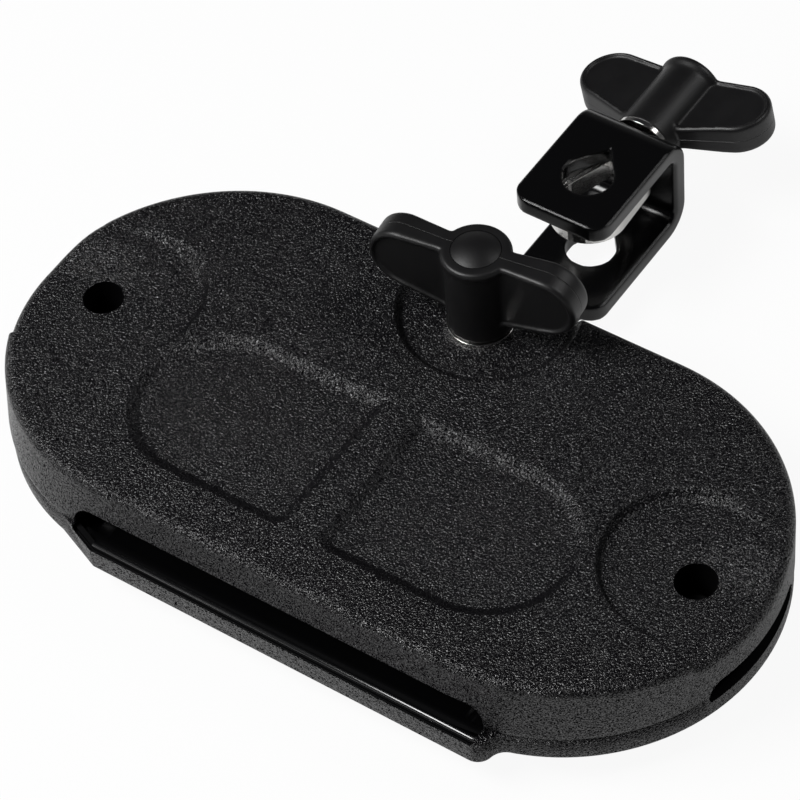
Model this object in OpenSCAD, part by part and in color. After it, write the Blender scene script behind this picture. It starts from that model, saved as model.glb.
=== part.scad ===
// Plastic woodblock with a steel rod clamp. A hollow block with round ends swivels on a bolt in a
// bent steel strap, and an eye bolt draws a stand rod into the strap's two teardrop holes.
// Lengths are in millimetres. The origin lies on the rod's axis, midway between the strap's leaves.
// The block's long way is X, its struck face is up and the clamp stands behind it, towards +Y.

/* [Block] */
// Length of the block over its round ends
block_l = 192.2; // [180:0.1:230]
// Width of the block, which sets the round ends too
block_w = 100; // [96:0.1:112]
// Height of the block
block_h = 21; // [20:0.1:26]
// Height of the lower shell, up to the seam
lower_h = 7; // [6.5:0.1:8]
// Radius of the block's top edge
top_edge_r = 3.6; // [1:0.1:4.5]
// Radius of the block's bottom edge
bottom_edge_r = 1.5; // [0.5:0.1:2.5]
// Thickness of the shells' side walls
wall_t = 4; // [3:0.1:5]
// Thickness of the struck top plate
plate_t = 5; // [4:0.1:6]
// Thickness of the lower shell's floor
floor_t = 3.4; // [2.6:0.1:4]

/* [Slots] */
// Left end of the front slot, from the block's middle
slot_left = 52; // [30:0.5:56]
// Right end of the front slot, from the block's middle
slot_right = 56.5; // [30:0.5:58]
// Depth of the front slot's upper edge below the top plate's face
slot_top = 8; // [7:0.1:9]
// How far the front slot's lower edge lies below the seam
slot_drop = 1; // [0.6:0.1:1.4]
// Radius of the front slot's upper corners
slot_corner_r = 5; // [2:0.1:6]
// How far the lower lip of the front slot stands out
lip_out = 3.6; // [2:0.1:5]
// Wall of that lip, with the chamber behind it
lip_wall = 2.4; // [2:0.1:3]
// Depth of the end slots' upper edge below the top plate's face
end_slot_top = 10.5; // [10:0.1:11]
// How far the end slots' lower edge lies below the seam
end_slot_drop = 4.2; // [3.7:0.1:4.5]
// Half of the angle that an end slot spans about the centre of the round end
end_slot_half_angle = 15.5; // [10:0.5:20]
// Width of the groove behind the front lip's edge
groove_w = 0.8; // [0.5:0.1:1.2]
// Depth of that groove
groove_d = 0.9; // [0.5:0.1:1.2]

/* [Recesses in the top] */
// Distance from the middle to the straight side of each pad recess
pad_inner = 5; // [4:0.1:8]
// Distance from the middle to the round end of each pad recess
pad_outer = 55; // [45:0.5:55]
// Radius of a pad recess's round end, which is half its width
pad_r = 21.5; // [18:0.1:22]
// Land between the pad recesses and the block's front edge
pad_land = 14; // [12:0.1:16]
// Radius of a pad recess's inner corners
pad_corner_r = 5; // [4:0.1:8]
// Width of the slope round a pad recess
pad_slope = 3; // [1:0.1:3.5]
// Depth of the pad recesses
pad_d = 1.5; // [0.8:0.1:2]
// Radius of the recesses at the two ends
end_recess_r = 20.5; // [18:0.1:22]
// Distance from the middle to an end recess's centre
end_recess_x = 77; // [77:0.1:80]
// Angle at which an end recess opens towards the end
end_recess_flare = 10; // [0:1:14]
// Depth of the end recesses
end_recess_d = 1.8; // [1:0.1:2.2]
// Radius of the wing nut's recess
nut_recess_r = 21.5; // [18:0.1:24]
// Distance of the wing nut's recess behind the mount bolt
nut_recess_shift = 3.2; // [1:0.1:5]
// Depth of the wing nut's recess
nut_recess_d = 2; // [1:0.1:2.4]
// Width of the slope round the wing nut's recess
recess_slope = 1.2; // [0.5:0.1:2]

/* [Screw wells] */
// Distance from the middle to a screw well
well_x = 79.4; // [79:0.1:80]
// Radius of a screw well
well_r = 4.8; // [4.4:0.1:5.2]
// How far the tube round a screw well reaches below the seam
well_drop = 1; // [0.6:0.1:1.4]
// Wall of the tube round a screw well
well_wall = 2.2; // [1.6:0.1:2.6]
// Thickness of the web that a screw's head rests on
well_web = 1.8; // [1.4:0.1:2.2]
// Radius of a shell screw's thread
screw_r = 1.95; // [1.7:0.05:2.2]
// Length of a shell screw under its head
screw_l = 6.5; // [5.5:0.1:6.6]
// Radius of a shell screw's head
screw_head_r = 3.75; // [3.2:0.05:4]
// Height of a shell screw's head
screw_head_h = 2.4; // [2:0.1:2.8]

/* [Strap] */
// Width of the steel strap
strap_w = 25.5; // [24:0.1:30]
// Thickness of the steel strap
strap_t = 4.5; // [4:0.1:5]
// Rounding of the strap's long edges
strap_edge_r = 0.9; // [0.4:0.1:1.4]
// Clear height between the strap's two leaves
leaf_gap = 20; // [19.5:0.1:24]
// Radius inside the strap's two bends
bend_r = 3; // [2:0.1:4]
// Distance from the rod's axis to the outside of the back plate
back_reach = 22.5; // [22.5:0.1:26]
// Distance from the rod's axis to the upper leaf's front edge
upper_reach = 14.3; // [13:0.1:16]
// Distance from the rod's axis to the lower leaf's shoulders
lower_reach = 17.5; // [14:0.1:19]
// Radius of the upper leaf's corners
upper_corner_r = 5; // [2:0.1:7]
// Width of the tongue that carries the block
tongue_w = 16; // [14:0.1:17]
// Radius of the pad at the tongue's end
tongue_pad_r = 10.5; // [10.2:0.1:12]
// Swivel of the block to each side
swivel_angle = 20; // [10:1:25]
// Depth of the tongue's seat in the block's underside
seat_d = 1.6; // [1:0.1:1.8]
// Clearance beside the tongue in its seat
seat_clearance = 0.4; // [0.3:0.05:0.6]

/* [Rod clamp] */
// Radius of the rod holes
rod_hole_r = 6.1; // [5:0.05:6.1]
// Distance from the rod's axis to the tip of the holes' V
rod_v_tip = 10; // [8.8:0.1:10.5]
// Distance from the rod's axis to the mount bolt
bolt_reach = 45.7; // [45:0.1:50]
// Distance of the mount bolt in front of the block's back edge
bolt_inset = 12.2; // [11.8:0.1:12.5]
// Height of the eye bolt's axis above the middle of the strap
eye_z = 4; // [1:0.1:5]
// Radius inside the eye bolt's round eye
eye_inner_r = 6.3; // [6.25:0.05:6.6]
// Width of the metal round the eye
eye_wall = 3.1; // [2.4:0.1:3.4]
// Height of the eye along the rod
eye_h = 7; // [5:0.1:8]
// Distance from the rod's axis to the narrow end of the opening in the eye
eye_tip = 13.8; // [12:0.1:14]
// Radius of that narrow end
eye_tip_r = 2.2; // [1.5:0.1:3]
// Metal behind the opening in the eye
eye_back_wall = 1.8; // [1.4:0.1:2]
// Chamfer along the eye's edges
eye_chamfer = 0.7; // [0.3:0.1:1]

/* [Bolts and washers] */
// Radius of both bolts
bolt_r = 4; // [3.5:0.05:4]
// Radial clearance between a bolt and its wing nut's thread
thread_clearance = 0.05; // [0.02:0.01:0.08]
// Radial clearance between a bolt and a hole that it passes
bolt_clearance = 0.3; // [0.2:0.05:0.5]
// How far both bolts reach into their wing nuts
bolt_in_nut = 16.3; // [12:0.1:17]
// Radius of the mount bolt's round head
head_r = 9.8; // [8.5:0.1:10.2]
// Height of the mount bolt's head
head_h = 4.6; // [3.5:0.1:5]
// Width of the square neck under that head
neck_w = 8; // [8:0.1:8.4]
// Radius of the washers
washer_r = 7.9; // [7.4:0.1:9]
// Thickness of the washers
washer_t = 1.3; // [1:0.1:1.6]

/* [Wing nuts] */
// Length of a wing nut's hub
hub_l = 23.5; // [22.5:0.1:26]
// Radius of the hub
hub_r = 7.6; // [7.2:0.1:8]
// Radius of the collar round the hub's end
collar_r = 8.3; // [7.9:0.1:9]
// Height of that collar
collar_h = 2.5; // [2:0.1:3.5]
// Span of the wings from tip to tip
wing_span = 51.6; // [48:0.2:56]
// Radius of a wing's round end
wing_r = 8.3; // [7:0.1:9]
// Height of the wings' middle above the washer
wing_z = 15.6; // [15:0.1:16.5]
// Height of a wing's lower edge where it meets the hub
wing_foot = 4; // [3:0.1:6]
// Thickness of a wing at its end
wing_t = 8; // [7:0.1:9]
// Thickness of a wing where it meets the hub
wing_root_t = 6.4; // [5:0.1:7]
// Width of the rim round a wing's side panels
wing_rim = 1.6; // [1.2:0.1:2]
// Depth of the side panels
panel_d = 0.7; // [0.3:0.1:1]
// Radius of the cap in the hub's end
cap_r = 5.65; // [5:0.05:6]
// Rise of the cap's dome
cap_rise = 1.8; // [1:0.1:2.4]
// Depth of the cap's plug in the hub
cap_plug = 2.6; // [2:0.1:3]
// Width of the fine gap round the cap
cap_gap = 0.15; // [0.1:0.05:0.3]
// Radius of the threaded insert
insert_r = 5.6; // [5.4:0.05:6]
// Length of the threaded insert
insert_l = 17.5; // [15:0.1:18]
// Turn of the block's wing nut about its bolt
block_nut_turn = 6.3; // [-90:0.1:90]
// Tilt of the clamp's wing nut about its bolt
clamp_nut_turn = 10.3; // [-90:0.1:90]

/* [Hidden] */
$fn = 96;

// One overrun for every cut
cut = 1;
// Rounds of a convex hull
hull_fn = 40;

// The block stands in its own frame: the middle of its top face at zero
end_r = block_w / 2;
straight = block_l - block_w;
bolt_back = end_r - bolt_inset;
nut_recess_back = bolt_back + nut_recess_shift;
pad_forward = end_r - pad_land - pad_r;
seam_z = lower_h - block_h;
cavity_top = -plate_t;
cavity_floor = floor_t - block_h;
slot_bottom = seam_z - slot_drop;
slot_h = -slot_top - slot_bottom;
end_slot_bottom = seam_z - end_slot_drop;
end_slot_h = -end_slot_top - end_slot_bottom;
lip_front = end_r + lip_out;

// Front lip: a slanted left end, and a right end of one convex and one hollow arc
lip_left_start = 57;
lip_left_full = 45;
lip_arc_r = 4;
lip_right_angle = 18.4;
lip_hollow = [straight / 2 + (end_r + lip_arc_r) * sin(lip_right_angle),
              -(end_r + lip_arc_r) * cos(lip_right_angle)];
lip_round_y = lip_arc_r - lip_front;
lip_round = [lip_hollow.x - sqrt(pow(2 * lip_arc_r, 2) - pow(lip_hollow.y - lip_round_y, 2)),
             lip_round_y];
lip_land = 0.35;
end_groove_land = 0.5;
end_groove_w = 0.3;
end_groove_d = 0.5;
lip_left_drop = sqrt(pow(end_r, 2) - pow(lip_left_start - straight / 2, 2));
lip_slant = atan2(lip_front - lip_left_drop, lip_left_start - lip_left_full);

// Locating rim inside the seam, and the inside of the lower shell in line with it
rim_h = 2;
rim_t = 1.4;
rim_gap = 0.2;
rim_outer_r = end_r - wall_t - rim_gap;
rim_inner_r = rim_outer_r - rim_t;

// Bosses round the mount bolt and the shell screws
bolt_boss_r = 12;
bolt_boss_gap = 0.3;
screw_boss_r = 5.5;
screw_end_room = 0.2;
screw_clearance = 0.2;
web_bottom = seam_z - well_drop;
well_d = -web_bottom - well_web;
well_tube_r = well_r + well_wall;

// Levels in the shared frame
leaf_z = leaf_gap / 2;
block_top_z = block_h - seat_d - leaf_z;
block_y = -bolt_reach - bolt_back;
nut_floor_z = block_top_z - nut_recess_d;
block_nut_z = nut_floor_z + washer_t;
clamp_nut_y = back_reach + washer_t;
bend_outer_r = bend_r + strap_t;
bend_y = back_reach - bend_outer_r;
lower_corner_r = upper_corner_r;
neck_clearance = 0.15;
neck_h = strap_t - neck_clearance;
head_rim = 0.8;

// Sides that run off a round start this share of its radius out, so that they cross it
run_off_share = 0.995;

// Share of a screw head's height that is rounded, and of the eye's wall that its back corners move in
screw_edge_share = 1 / 3;
eye_corner_share = 1 / 6;

// Insert, collar and wing details
insert_band = 5;
insert_groove = 0.5;
collar_bevel_share = 1 / 3;
wing_x = wing_span / 2 - wing_r;
wing_top_root = hub_l - collar_h / 2;
wing_soft_shares = [[0, 0.62], [0.06, 0.86], [0.16, 1]];
wing_dip_r = 6;
wing_dip_x = 10.4;
wing_dip_d = 1.1;

// Half section of a plate whose upper edge is rounded
module edge_section(r, h, edge) {
    difference() {
        square([r, h]);
        difference() {
            translate([r - edge, h - edge]) square([edge + cut, edge + cut]);
            translate([r - edge, h - edge]) circle(r = edge);
        }
    }
}

// Plate with round ends, flat below and with a rounded upper edge
module edged_stadium(r, length, h, edge) {
    for (side = [0, 180])
        rotate([0, 0, side])
            translate([length / 2, 0, 0])
                rotate([0, 0, -90])
                    rotate_extrude(angle = 180) edge_section(r, h, edge);
    for (side = [0, 180])
        rotate([0, 0, side])
            rotate([90, 0, 90])
                translate([0, 0, -length / 2])
                    linear_extrude(length) edge_section(r, h, edge);
}

// Outline with round ends
module stadium(r) {
    square([straight, 2 * r], center = true);
    for (side = [-1, 1])
        translate([side * straight / 2, 0]) circle(r = r);
}

// Half section of a recess with a sloping wall, from its middle out to the wall
module recess_section(half, depth, slope) {
    polygon([[0, -depth], [half - slope, -depth], [half + cut * slope / depth, cut], [0, cut]]);
}

// Half of a straight trough along X, with its sloping wall towards +Y
module half_trough(length, half, depth, slope) {
    rotate([90, 0, 90]) linear_extrude(length) recess_section(half, depth, slope);
}

// Sector of a round dish with a sloping wall, from an angle on
module dish_sector(r, depth, slope, start, angle) {
    rotate([0, 0, start]) rotate_extrude(angle = angle) recess_section(r, depth, slope);
}

// One pad recess: a round outer end and two small inner corners
module pad_recess() {
    round_x = pad_outer - pad_r;
    corner_x = pad_inner + pad_corner_r;
    across = pad_r - pad_corner_r;
    translate([0, -pad_forward, 0]) {
        translate([round_x, 0, 0]) dish_sector(pad_r, pad_d, pad_slope, -90, 180);
        for (side = [0, 1])
            mirror([0, side, 0]) {
                translate([corner_x, 0, 0])
                    half_trough(round_x - corner_x, pad_r, pad_d, pad_slope);
                translate([corner_x, across, 0])
                    dish_sector(pad_corner_r, pad_d, pad_slope, 90, 90);
                translate([corner_x, 0, 0])
                    rotate([0, 0, 90]) half_trough(across, pad_corner_r, pad_d, pad_slope);
            }
    }
}

// Section of the cut that rounds an outer edge of radius top_edge_r, from its centre
module corner_section() {
    difference() {
        square([top_edge_r + cut, top_edge_r + cut / 2]);
        circle(r = top_edge_r / run_off_share);
    }
}

// Plan of an end recess: round inside, opening towards the end
module end_recess_plan() {
    spread = end_r * [cos(end_recess_flare), sin(end_recess_flare)];
    start = run_off_share * end_recess_r * [-sin(end_recess_flare), cos(end_recess_flare)];
    circle(r = end_recess_r);
    polygon([start, start + spread, [start.x + spread.x, -start.y - spread.y],
             [start.x, -start.y]]);
}

// One end recess, with the block's edge rounded again where the floor runs out
module end_recess() {
    edge_z = -end_recess_d - top_edge_r;
    translate([end_recess_x, 0, -end_recess_d])
        linear_extrude(end_recess_d + cut) end_recess_plan();
    intersection() {
        translate([end_recess_x, 0, edge_z]) linear_extrude(-edge_z) end_recess_plan();
        translate([straight / 2, 0, edge_z])
            rotate([0, 0, -90])
                rotate_extrude(angle = 180)
                    translate([end_r - top_edge_r, 0]) corner_section();
    }
}

// Recess for the wing nut, which runs out over the block's back edge in the same way
module nut_recess() {
    edge_z = -nut_recess_d - top_edge_r;
    translate([0, nut_recess_back, 0])
        dish_sector(nut_recess_r, nut_recess_d, recess_slope, 0, 360);
    intersection() {
        translate([0, nut_recess_back, edge_z])
            cylinder(h = -edge_z, r = nut_recess_r - recess_slope);
        translate([-straight / 2, end_r - top_edge_r, edge_z])
            rotate([90, 0, 90]) linear_extrude(straight) corner_section();
    }
}

// Cut for the front slot, through the wall and over the lip
module front_slot() {
    width = slot_left + slot_right;
    translate([-slot_left, cut - rim_inner_r, slot_bottom])
        rotate([90, 0, 0])
            linear_extrude(end_r - rim_inner_r + lip_out + 2 * cut) {
                square([width, slot_h - slot_corner_r]);
                translate([slot_corner_r, 0]) square([width - 2 * slot_corner_r, slot_h]);
                for (x = [slot_corner_r, width - slot_corner_r])
                    translate([x, slot_h - slot_corner_r]) circle(r = slot_corner_r);
            }
}

// Cut for the slot in the right end, with round ends
module end_slot() {
    half_h = end_slot_h / 2;
    reach = end_r * sin(end_slot_half_angle);
    inner = sqrt(pow(rim_inner_r, 2) - pow(reach + half_h, 2)) - cut;
    translate([straight / 2 + inner, 0, end_slot_bottom + half_h])
        rotate([90, 0, 90])
            linear_extrude(end_r + cut - inner) {
                square([2 * reach, end_slot_h], center = true);
                for (side = [-1, 1])
                    translate([side * reach, 0]) circle(r = half_h);
            }
}

// Front slot and both end slots
module slots() {
    front_slot();
    end_slot();
    mirror([1, 0, 0]) end_slot();
}

// Plan of the front lip, drawn in by an inset
module lip_plan(inset) {
    front = inset - lip_front;
    slant_shift = inset / sin(lip_slant) - inset / tan(lip_slant);
    start = [inset / sin(lip_slant) - lip_left_start, -lip_left_drop];
    full = [slant_shift - lip_left_full, front];
    difference() {
        union() {
            polygon([start, full, [lip_round.x, front], lip_round, lip_hollow,
                     [straight / 2, 0], [start.x, 0]]);
            translate(lip_round) circle(r = lip_arc_r - inset);
        }
        translate(lip_hollow) circle(r = lip_arc_r + inset);
    }
}

// Groove in the top of the front lip
module front_groove() {
    bottom = slot_bottom - groove_d;
    intersection() {
        translate([0, 0, bottom])
            linear_extrude(groove_d + cut)
                difference() {
                    lip_plan(lip_land);
                    lip_plan(lip_land + groove_w);
                }
        translate([-slot_left, -end_r - lip_out, bottom])
            cube([slot_left + slot_right, lip_out, groove_d + cut]);
    }
}

// Fine groove in the lower edge of the right end slot
module end_groove() {
    outer = end_r - end_groove_land;
    translate([straight / 2, 0, end_slot_bottom - end_groove_d])
        rotate([0, 0, -end_slot_half_angle])
            rotate_extrude(angle = 2 * end_slot_half_angle)
                translate([outer - end_groove_w, 0]) square([end_groove_w, end_groove_d + cut]);
}

// Places of the two screw wells
module at_wells() {
    for (side = [-1, 1])
        translate([side * well_x, 0, 0]) children();
}

// Moves what is drawn about the block's top face to its place behind the clamp
module in_block_frame() {
    translate([0, block_y, block_top_z]) children();
}

module top_shell() {
    color([0.1, 0.1, 0.1])
    in_block_frame()
    difference() {
        union() {
            difference() {
                translate([0, 0, seam_z]) edged_stadium(end_r, straight, -seam_z, top_edge_r);
                translate([0, 0, seam_z - cut])
                    linear_extrude(cavity_top - seam_z + cut) stadium(end_r - wall_t);
                slots();
            }
            intersection() {
                translate([0, bolt_back, seam_z]) cylinder(h = cavity_top - seam_z + cut, r = bolt_boss_r);
                translate([0, 0, seam_z]) linear_extrude(-seam_z) stadium(end_r - wall_t / 2);
            }
            at_wells()
                translate([0, 0, web_bottom])
                    cylinder(h = cavity_top - web_bottom + cut, r = well_tube_r);
        }
        for (side = [0, 1]) {
            mirror([side, 0, 0]) pad_recess();
            mirror([side, 0, 0]) end_recess();
        }
        nut_recess();
        translate([0, bolt_back, seam_z - cut])
            cylinder(h = block_h, r = bolt_r + bolt_clearance);
        at_wells() {
            translate([0, 0, -well_d]) cylinder(h = well_d + cut, r = well_r);
            translate([0, 0, web_bottom - cut])
                cylinder(h = well_web + 2 * cut, r = screw_r + screw_clearance);
        }
    }
}

// Seat for the strap's tongue, as wide as its swing
module tongue_seat() {
    half = tongue_w / 2 + seat_clearance;
    reach = (end_r - bolt_back) / cos(swivel_angle) + half + cut;
    translate([0, bolt_back, -block_h - cut]) {
        cylinder(h = seat_d + cut, r = tongue_pad_r + seat_clearance);
        for (side = [-1, 1])
            rotate([0, 0, side * swivel_angle])
                translate([-half, 0, 0]) cube([2 * half, reach, seat_d + cut]);
    }
}

// Outside of the lower shell, with the front lip
module lower_outside() {
    translate([0, 0, seam_z])
        mirror([0, 0, 1])
            edged_stadium(end_r, straight, lower_h, bottom_edge_r);
    translate([0, 0, -block_h]) linear_extrude(lower_h) lip_plan(0);
}

// Plan of the inside of the lower shell, which reaches into the front lip along the slot
module lower_inside_plan() {
    stadium(rim_inner_r);
    intersection() {
        lip_plan(lip_wall);
        translate([-slot_left, -lip_front]) square([slot_left + slot_right, lip_front]);
    }
}

// Rim that locates the upper shell's wall from inside
module locating_rim() {
    difference() {
        translate([0, 0, seam_z])
            linear_extrude(rim_h)
                difference() {
                    stadium(rim_outer_r);
                    stadium(rim_inner_r);
                }
        translate([0, bolt_back, seam_z - cut])
            cylinder(h = rim_h + 2 * cut, r = bolt_boss_r + bolt_boss_gap);
    }
}

module bottom_shell() {
    color([0.11, 0.11, 0.11])
    in_block_frame()
    difference() {
        union() {
            difference() {
                lower_outside();
                translate([0, 0, cavity_floor]) linear_extrude(lower_h) lower_inside_plan();
            }
            locating_rim();
            intersection() {
                translate([0, bolt_back, -block_h + seat_d])
                    cylinder(h = lower_h - seat_d, r = bolt_boss_r);
                translate([0, 0, -block_h]) linear_extrude(lower_h) stadium(end_r - wall_t / 2);
            }
            at_wells()
                translate([0, 0, cavity_floor - floor_t / 2])
                    cylinder(h = web_bottom - cavity_floor + floor_t / 2, r = screw_boss_r);
        }
        slots();
        front_groove();
        end_groove();
        mirror([1, 0, 0]) end_groove();
        tongue_seat();
        translate([0, bolt_back, -block_h - cut])
            cylinder(h = block_h, r = bolt_r + bolt_clearance);
        at_wells()
            translate([0, 0, -well_d - screw_l - screw_end_room])
                cylinder(h = screw_l + screw_end_room, r = screw_r);
    }
}

module shell_screws() {
    color([0.16, 0.16, 0.17])
    in_block_frame()
    at_wells()
    translate([0, 0, -well_d]) {
            edge = screw_edge_share * screw_head_h;
        difference() {
            rotate_extrude() edge_section(screw_head_r, screw_head_h, edge);
            for (turn = [0, 90])
                rotate([0, 0, turn])
                    translate([-screw_head_r / 2, -edge / 2, screw_head_h - edge])
                        cube([screw_head_r, edge, edge + cut]);
        }
        translate([0, 0, -screw_l]) cylinder(h = screw_l + edge / 2, r = screw_r);
    }
}

// Cross-section of the strap: thickness along X, width along Y
module strap_section() {
    square([strap_t - 2 * strap_edge_r, strap_w], center = true);
    square([strap_t, strap_w - 2 * strap_edge_r], center = true);
    for (x = [-1, 1], y = [-1, 1])
        translate([x * (strap_t / 2 - strap_edge_r), y * (strap_w / 2 - strap_edge_r)])
            circle(r = strap_edge_r);
}

// Straight piece of the strap, lying flat, from a front to a back place along Y
module strap_run(front, back) {
    translate([0, back, 0])
        rotate([90, 0, 0])
            linear_extrude(back - front) rotate([0, 0, 90]) strap_section();
}

// Lower bend of the strap, from its lower leaf to its back plate
module lower_bend() {
    translate([0, bend_y, bend_outer_r - leaf_z - strap_t])
        rotate([0, 90, 0])
            rotate_extrude(angle = 90)
                translate([bend_r + strap_t / 2, 0]) strap_section();
}

// Plan of a leaf with two round front corners
module leaf_plan(front, back, r) {
    half = strap_w / 2;
    translate([-half, -front + r]) square([strap_w, back + front - r]);
    translate([r - half, -front]) square([strap_w - 2 * r, back + front]);
    for (side = [-1, 1])
        translate([side * (half - r), r - front]) circle(r = r);
}

// Plan of the lower leaf, with the tongue and its round pad
module lower_plan() {
    leaf_plan(lower_reach, bend_y, lower_corner_r);
    translate([-tongue_w / 2, -bolt_reach]) square([tongue_w, bolt_reach]);
    translate([0, -bolt_reach]) circle(r = tongue_pad_r);
}

// Rod hole: round in front, with a V behind that the rod is drawn into
module rod_hole_plan() {
    rise = asin(rod_hole_r / rod_v_tip);
    start = run_off_share * rod_hole_r * [cos(rise), sin(rise)];
    circle(r = rod_hole_r);
    polygon([[0, 0], start, [0, rod_v_tip], [-start.x, start.y]]);
}

module bracket() {
    mid = leaf_z + strap_t / 2;
    hole_h = leaf_gap + 2 * strap_t + 2 * cut;
    neck_hole = neck_w + 2 * neck_clearance;
    color([0.05, 0.05, 0.05])
    difference() {
        union() {
            intersection() {
                translate([0, 0, mid]) strap_run(-upper_reach, bend_y);
                translate([0, 0, leaf_z])
                    linear_extrude(strap_t) leaf_plan(upper_reach, bend_y, upper_corner_r);
            }
            intersection() {
                translate([0, 0, -mid]) strap_run(-bolt_reach - tongue_pad_r, bend_y);
                translate([0, 0, -leaf_z - strap_t]) linear_extrude(strap_t) lower_plan();
            }
            lower_bend();
            mirror([0, 0, 1]) lower_bend();
            translate([0, back_reach - strap_t / 2, bend_outer_r - leaf_z - strap_t])
                linear_extrude(2 * (leaf_z + strap_t - bend_outer_r)) rotate([0, 0, 90]) strap_section();
        }
        translate([0, 0, -hole_h / 2]) linear_extrude(hole_h) rod_hole_plan();
        translate([0, bend_y, eye_z])
            rotate([-90, 0, 0]) cylinder(h = bend_outer_r + cut, r = bolt_r + bolt_clearance);
        translate([-neck_hole / 2, -bolt_reach - neck_hole / 2, -mid - strap_t])
            cube([neck_hole, neck_hole, 2 * strap_t]);
    }
}

module mount_bolt() {
    under = -leaf_z - strap_t;
    dome_r = (pow(head_r, 2) + pow(head_h - head_rim, 2)) / (2 * (head_h - head_rim));
    color([0.75, 0.75, 0.76])
    translate([0, -bolt_reach, 0]) {
        intersection() {
            translate([0, 0, under - head_h]) cylinder(h = head_h, r = head_r);
            translate([0, 0, under - head_h + dome_r]) sphere(r = dome_r);
        }
        translate([-neck_w / 2, -neck_w / 2, under - cut / 2])
            cube([neck_w, neck_w, neck_h + cut / 2]);
        translate([0, 0, under - cut / 2])
            cylinder(h = block_nut_z + bolt_in_nut - under + cut / 2, r = bolt_r);
    }
}

// Flat washer with its lower face at zero
module washer() {
    difference() {
        cylinder(h = washer_t, r = washer_r);
        translate([0, 0, -cut]) cylinder(h = washer_t + 2 * cut, r = bolt_r + bolt_clearance);
    }
}

module mount_washer() {
    color([0.8, 0.8, 0.82])
    translate([0, -bolt_reach, nut_floor_z]) washer();
}

module clamp_washer() {
    color([0.8, 0.8, 0.82])
    translate([0, back_reach, eye_z]) rotate([-90, 0, 0]) washer();
}

// Outer plan of the eye, drawn in by an inset
module eye_outer(inset) {
    r = eye_inner_r + eye_wall - inset;
    corner = eye_wall - inset;
    circle(r = r, $fn = hull_fn);
    for (side = [-1, 1])
        translate([side * (eye_inner_r - eye_corner_share * eye_wall), eye_tip + eye_back_wall - eye_wall])
            circle(r = corner, $fn = hull_fn);
}

// Opening of the eye, widened by an outset
module eye_opening(outset) {
    circle(r = eye_inner_r + outset, $fn = hull_fn);
    translate([0, eye_tip - eye_tip_r]) circle(r = eye_tip_r + outset, $fn = hull_fn);
}

module eye_bolt() {
    half = eye_h / 2;
    back = eye_tip + eye_back_wall;
    flare = 2 * eye_chamfer;
    color([0.78, 0.78, 0.8])
    translate([0, 0, eye_z]) {
        difference() {
            hull() {
                translate([0, 0, -half]) linear_extrude(eye_h) eye_outer(eye_chamfer);
                translate([0, 0, eye_chamfer - half])
                    linear_extrude(eye_h - 2 * eye_chamfer) eye_outer(0);
            }
            hull()
                translate([0, 0, -half - cut]) linear_extrude(eye_h + 2 * cut) eye_opening(0);
            for (side = [0, 1])
                mirror([0, 0, side])
                    hull() {
                        translate([0, 0, half - eye_chamfer]) linear_extrude(cut) eye_opening(0);
                        translate([0, 0, half + eye_chamfer]) linear_extrude(cut) eye_opening(flare);
                    }
        }
        translate([0, back - eye_back_wall / 2, 0])
            rotate([-90, 0, 0])
                cylinder(h = clamp_nut_y + bolt_in_nut - back + eye_back_wall / 2, r = bolt_r);
    }
}

// Round end and root of one wing seen from its side, drawn in by an inset
module wing_ends(inset) {
    translate([wing_x, wing_z]) circle(r = wing_r - inset, $fn = hull_fn);
    translate([0, wing_foot + inset]) square([hub_r, wing_top_root - wing_foot - 2 * inset]);
}

// One wing with soft edges, drawn towards +X
module wing() {
    reach = wing_x + wing_r + cut;
    intersection() {
        hull()
            for (layer = wing_soft_shares)
                translate([0, layer[1] * wing_t / 2, 0])
                    rotate([90, 0, 0])
                        linear_extrude(layer[1] * wing_t) wing_ends(layer[0] * wing_t);
        linear_extrude(hub_l + wing_r)
            polygon([[0, -wing_root_t / 2], [hub_r, -wing_root_t / 2], [wing_x, -wing_t / 2],
                     [reach, -wing_t / 2], [reach, wing_t / 2], [wing_x, wing_t / 2],
                     [hub_r, wing_root_t / 2], [0, wing_root_t / 2]]);
    }
}

// Shallow panel in one face of a wing
module wing_panel() {
    slant = atan2((wing_t - wing_root_t) / 2, wing_x - hub_r);
    translate([hub_r, wing_root_t / 2 - panel_d, 0])
        rotate([0, 0, slant])
            translate([-hub_r, wing_r, 0])
                rotate([90, 0, 0])
                    linear_extrude(wing_r) hull() wing_ends(wing_rim);
}

// Wing nut's plastic body, standing on its washer
module nut_body() {
    dip_z = wing_top_root + wing_dip_r + collar_h / 2 - wing_dip_d;
    bevel = collar_bevel_share * collar_h;
    difference() {
        union() {
            difference() {
                for (side = [0, 1])
                    mirror([side, 0, 0]) wing();
                for (side = [0, 1], face = [0, 1])
                    mirror([side, 0, 0]) mirror([0, face, 0]) wing_panel();
                for (side = [-1, 1])
                    translate([side * wing_dip_x, wing_t, dip_z])
                        rotate([90, 0, 0]) cylinder(h = 2 * wing_t, r = wing_dip_r);
            }
            cylinder(h = hub_l, r = hub_r);
            translate([0, 0, hub_l - collar_h]) {
                cylinder(h = bevel, r1 = hub_r, r2 = collar_r);
                translate([0, 0, bevel]) cylinder(h = collar_h - 2 * bevel, r = collar_r);
                translate([0, 0, collar_h - bevel]) cylinder(h = bevel, r1 = collar_r, r2 = hub_r);
            }
        }
        translate([0, 0, -cut]) cylinder(h = insert_l + cut, r = insert_r);
        translate([0, 0, -cut])
            cylinder(h = hub_l - cap_plug + cut, r = bolt_r + thread_clearance);
        translate([0, 0, hub_l - cap_plug]) cylinder(h = cap_plug + cut, r = cap_r + cap_gap);
    }
}

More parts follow.
